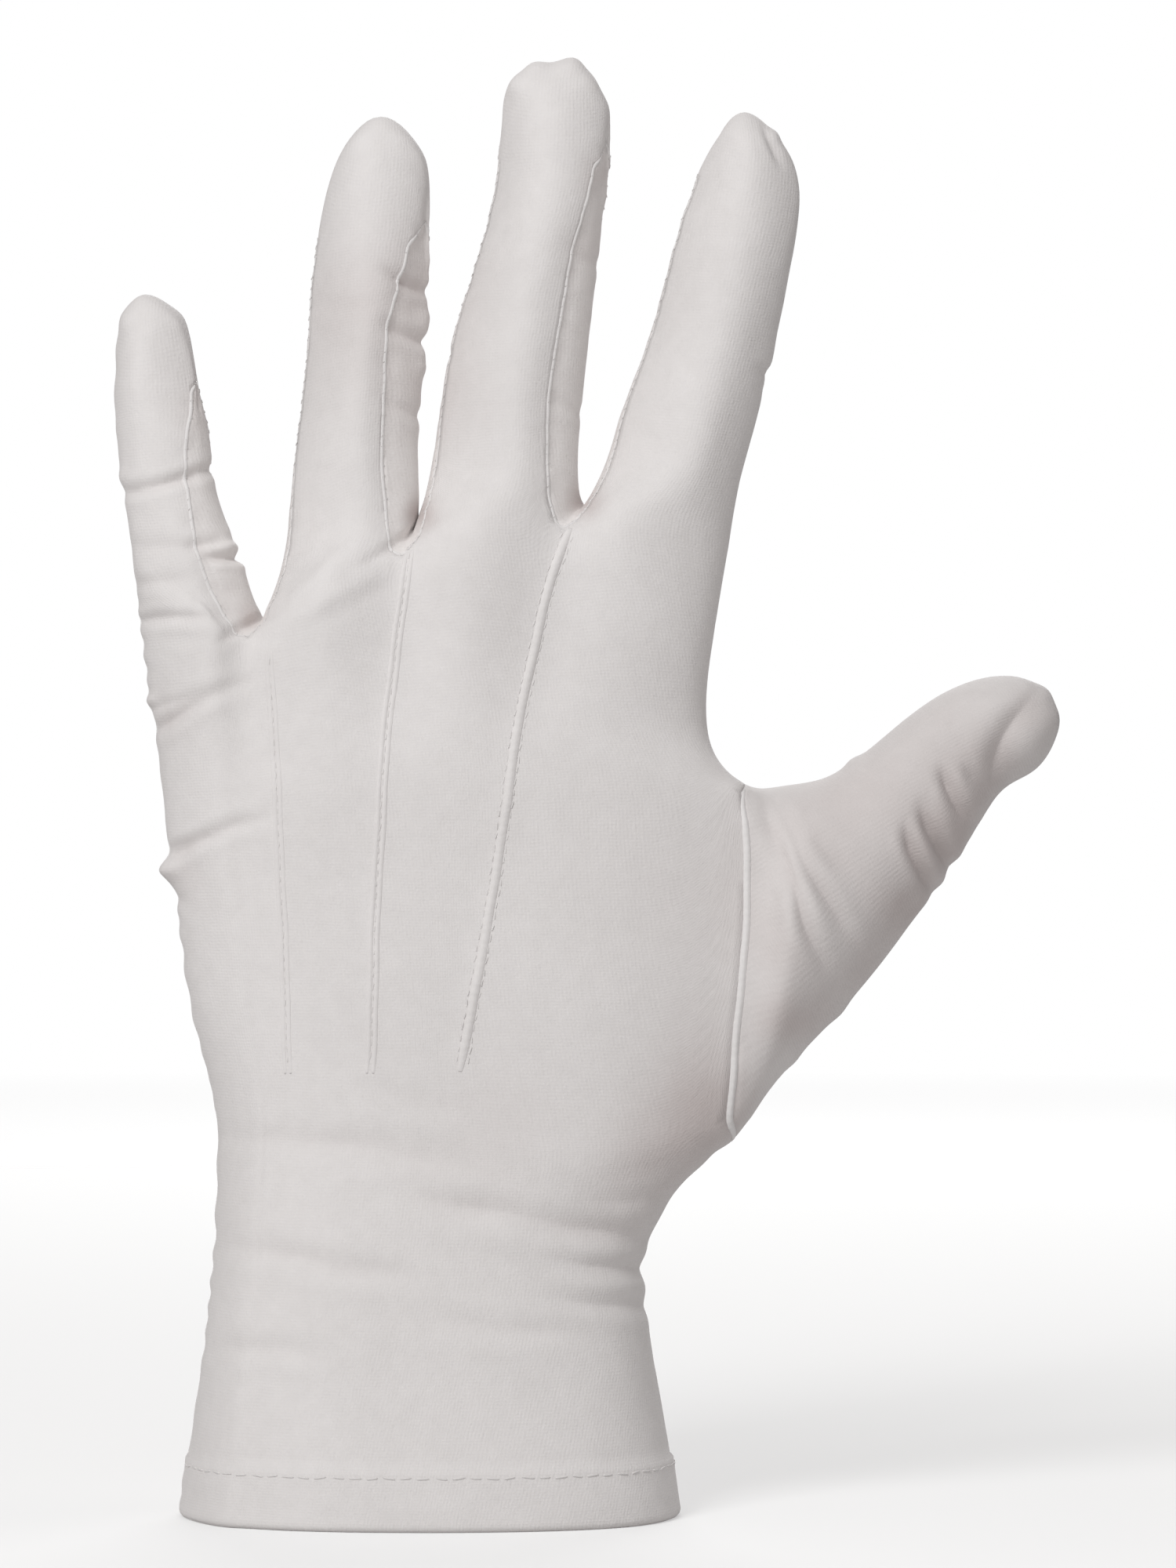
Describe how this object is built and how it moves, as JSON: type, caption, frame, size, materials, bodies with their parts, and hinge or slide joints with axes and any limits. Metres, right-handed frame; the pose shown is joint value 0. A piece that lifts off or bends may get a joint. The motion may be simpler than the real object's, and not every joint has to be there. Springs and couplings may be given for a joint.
{
  "type": "dress glove",
  "caption": "Thin white fabric dress glove for the left hand, with raised points on the back, set-in thumb and strips between the fingers.",
  "frame": {"origin": "middle of the wrist opening, where the hand goes in", "axes": "+Z from the wrist up along the hand to the fingertips, +X towards the thumb, +Y towards the palm side"},
  "size_m": [0.1512, 0.0511, 0.2313],
  "materials": {
    "glove_cloth": "fine white knit, matt with a faint sheen"
  },
  "bodies": {
    "root": {"trank": "glove_cloth", "thumb": "glove_cloth", "fourchette_little_ring": "glove_cloth", "fourchette_ring_middle": "glove_cloth", "fourchette_middle_index": "glove_cloth"}
  },
  "joints": []
}
